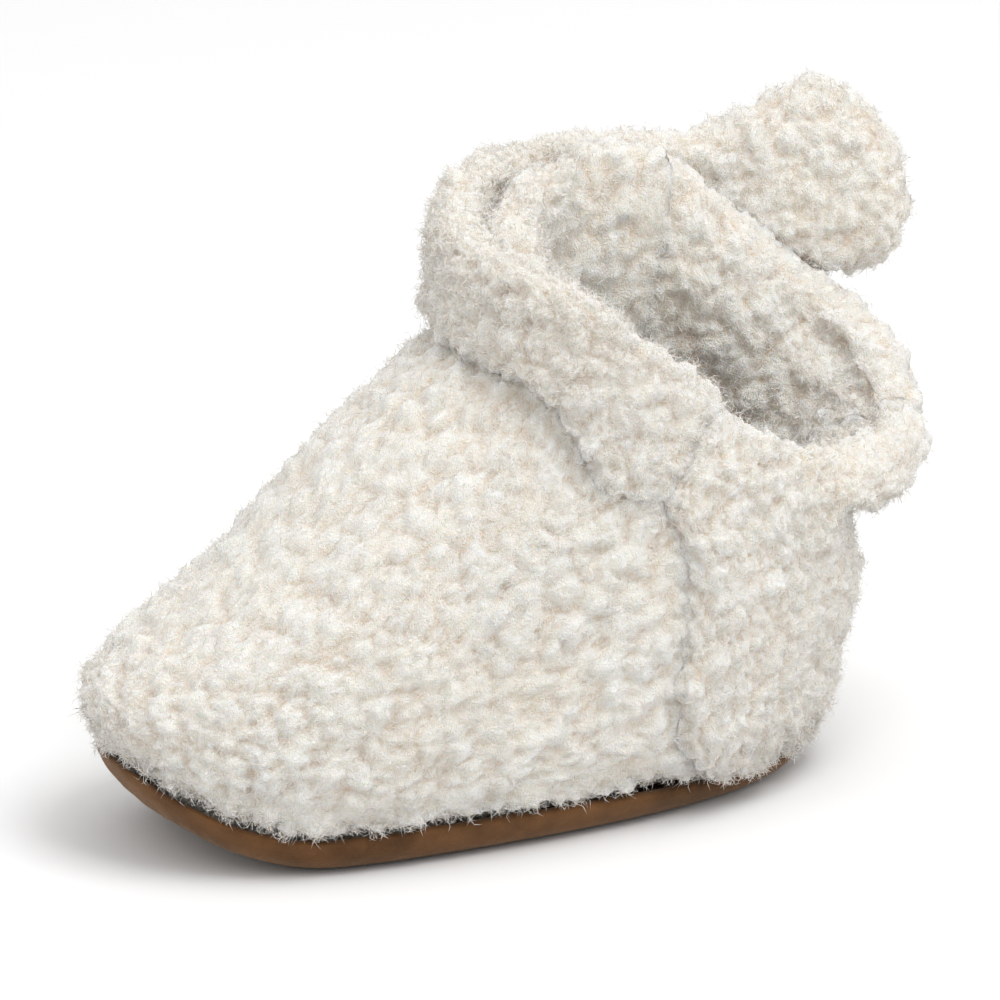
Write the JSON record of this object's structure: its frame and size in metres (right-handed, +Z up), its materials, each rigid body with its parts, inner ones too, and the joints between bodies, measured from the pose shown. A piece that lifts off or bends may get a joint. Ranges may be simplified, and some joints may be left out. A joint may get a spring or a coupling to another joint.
{
  "type": "baby bootie",
  "caption": "Soft curly-fleece baby bootie with a suede cup sole and two wings that wrap over the front of the ankle and close at the far side with a hook-and-loop patch.",
  "frame": {"origin": "middle of the bounding box's underside, on the surface the bootie stands on", "axes": "-Y towards the toe, +Y towards the heel, +X towards the near side where the outer wing folds, +Z up"},
  "size_m": [0.0678, 0.1518, 0.1028],
  "materials": {
    "suede": "matte suede nap",
    "foam": "open-cell foam",
    "lining": "short fleece",
    "fleece": "curly sherpa pile",
    "loop_fabric": "brushed loops",
    "hook_fabric": "fine hooks",
    "cotton": "twisted thread",
    "elastic": "woven elastic"
  },
  "bodies": {
    "shoe": {"outsole": "suede", "midsole_foam": "foam", "insole_sock": "lining", "vamp_fleece": "fleece", "vamp_lining": "lining", "near_quarter_fleece": "fleece", "near_quarter_lining": "lining", "far_quarter_fleece": "fleece", "far_quarter_lining": "lining", "loop_patch": "loop_fabric", "near_seam_thread": "cotton", "far_seam_thread": "cotton", "sole_seam_thread": "cotton", "back_seam_tape": "cotton", "heel_elastic": "elastic"},
    "outer_wing": {"outer_wing_fleece": "fleece", "outer_wing_lining": "lining", "hook_patch": "hook_fabric"},
    "inner_wing": {"inner_wing_fleece": "fleece", "inner_wing_lining": "lining"}
  },
  "joints": [
    {"name": "outer_wing_fold", "type": "hinge", "parent": "shoe", "child": "outer_wing", "pos_m": [0.02951, 0.01192, 0.06776], "axis": [-0.1325, 0, 0.9912], "range_deg": [0, 110]},
    {"name": "inner_wing_fold", "type": "hinge", "parent": "shoe", "child": "inner_wing", "pos_m": [-0.02466, 0.01192, 0.06776], "axis": [0.1325, 0, 0.9912], "range_deg": [-22, 0]}
  ],
  "couplings": [
    {"joint": "inner_wing_fold", "follows": "outer_wing_fold", "ratio": -0.2}
  ]
}
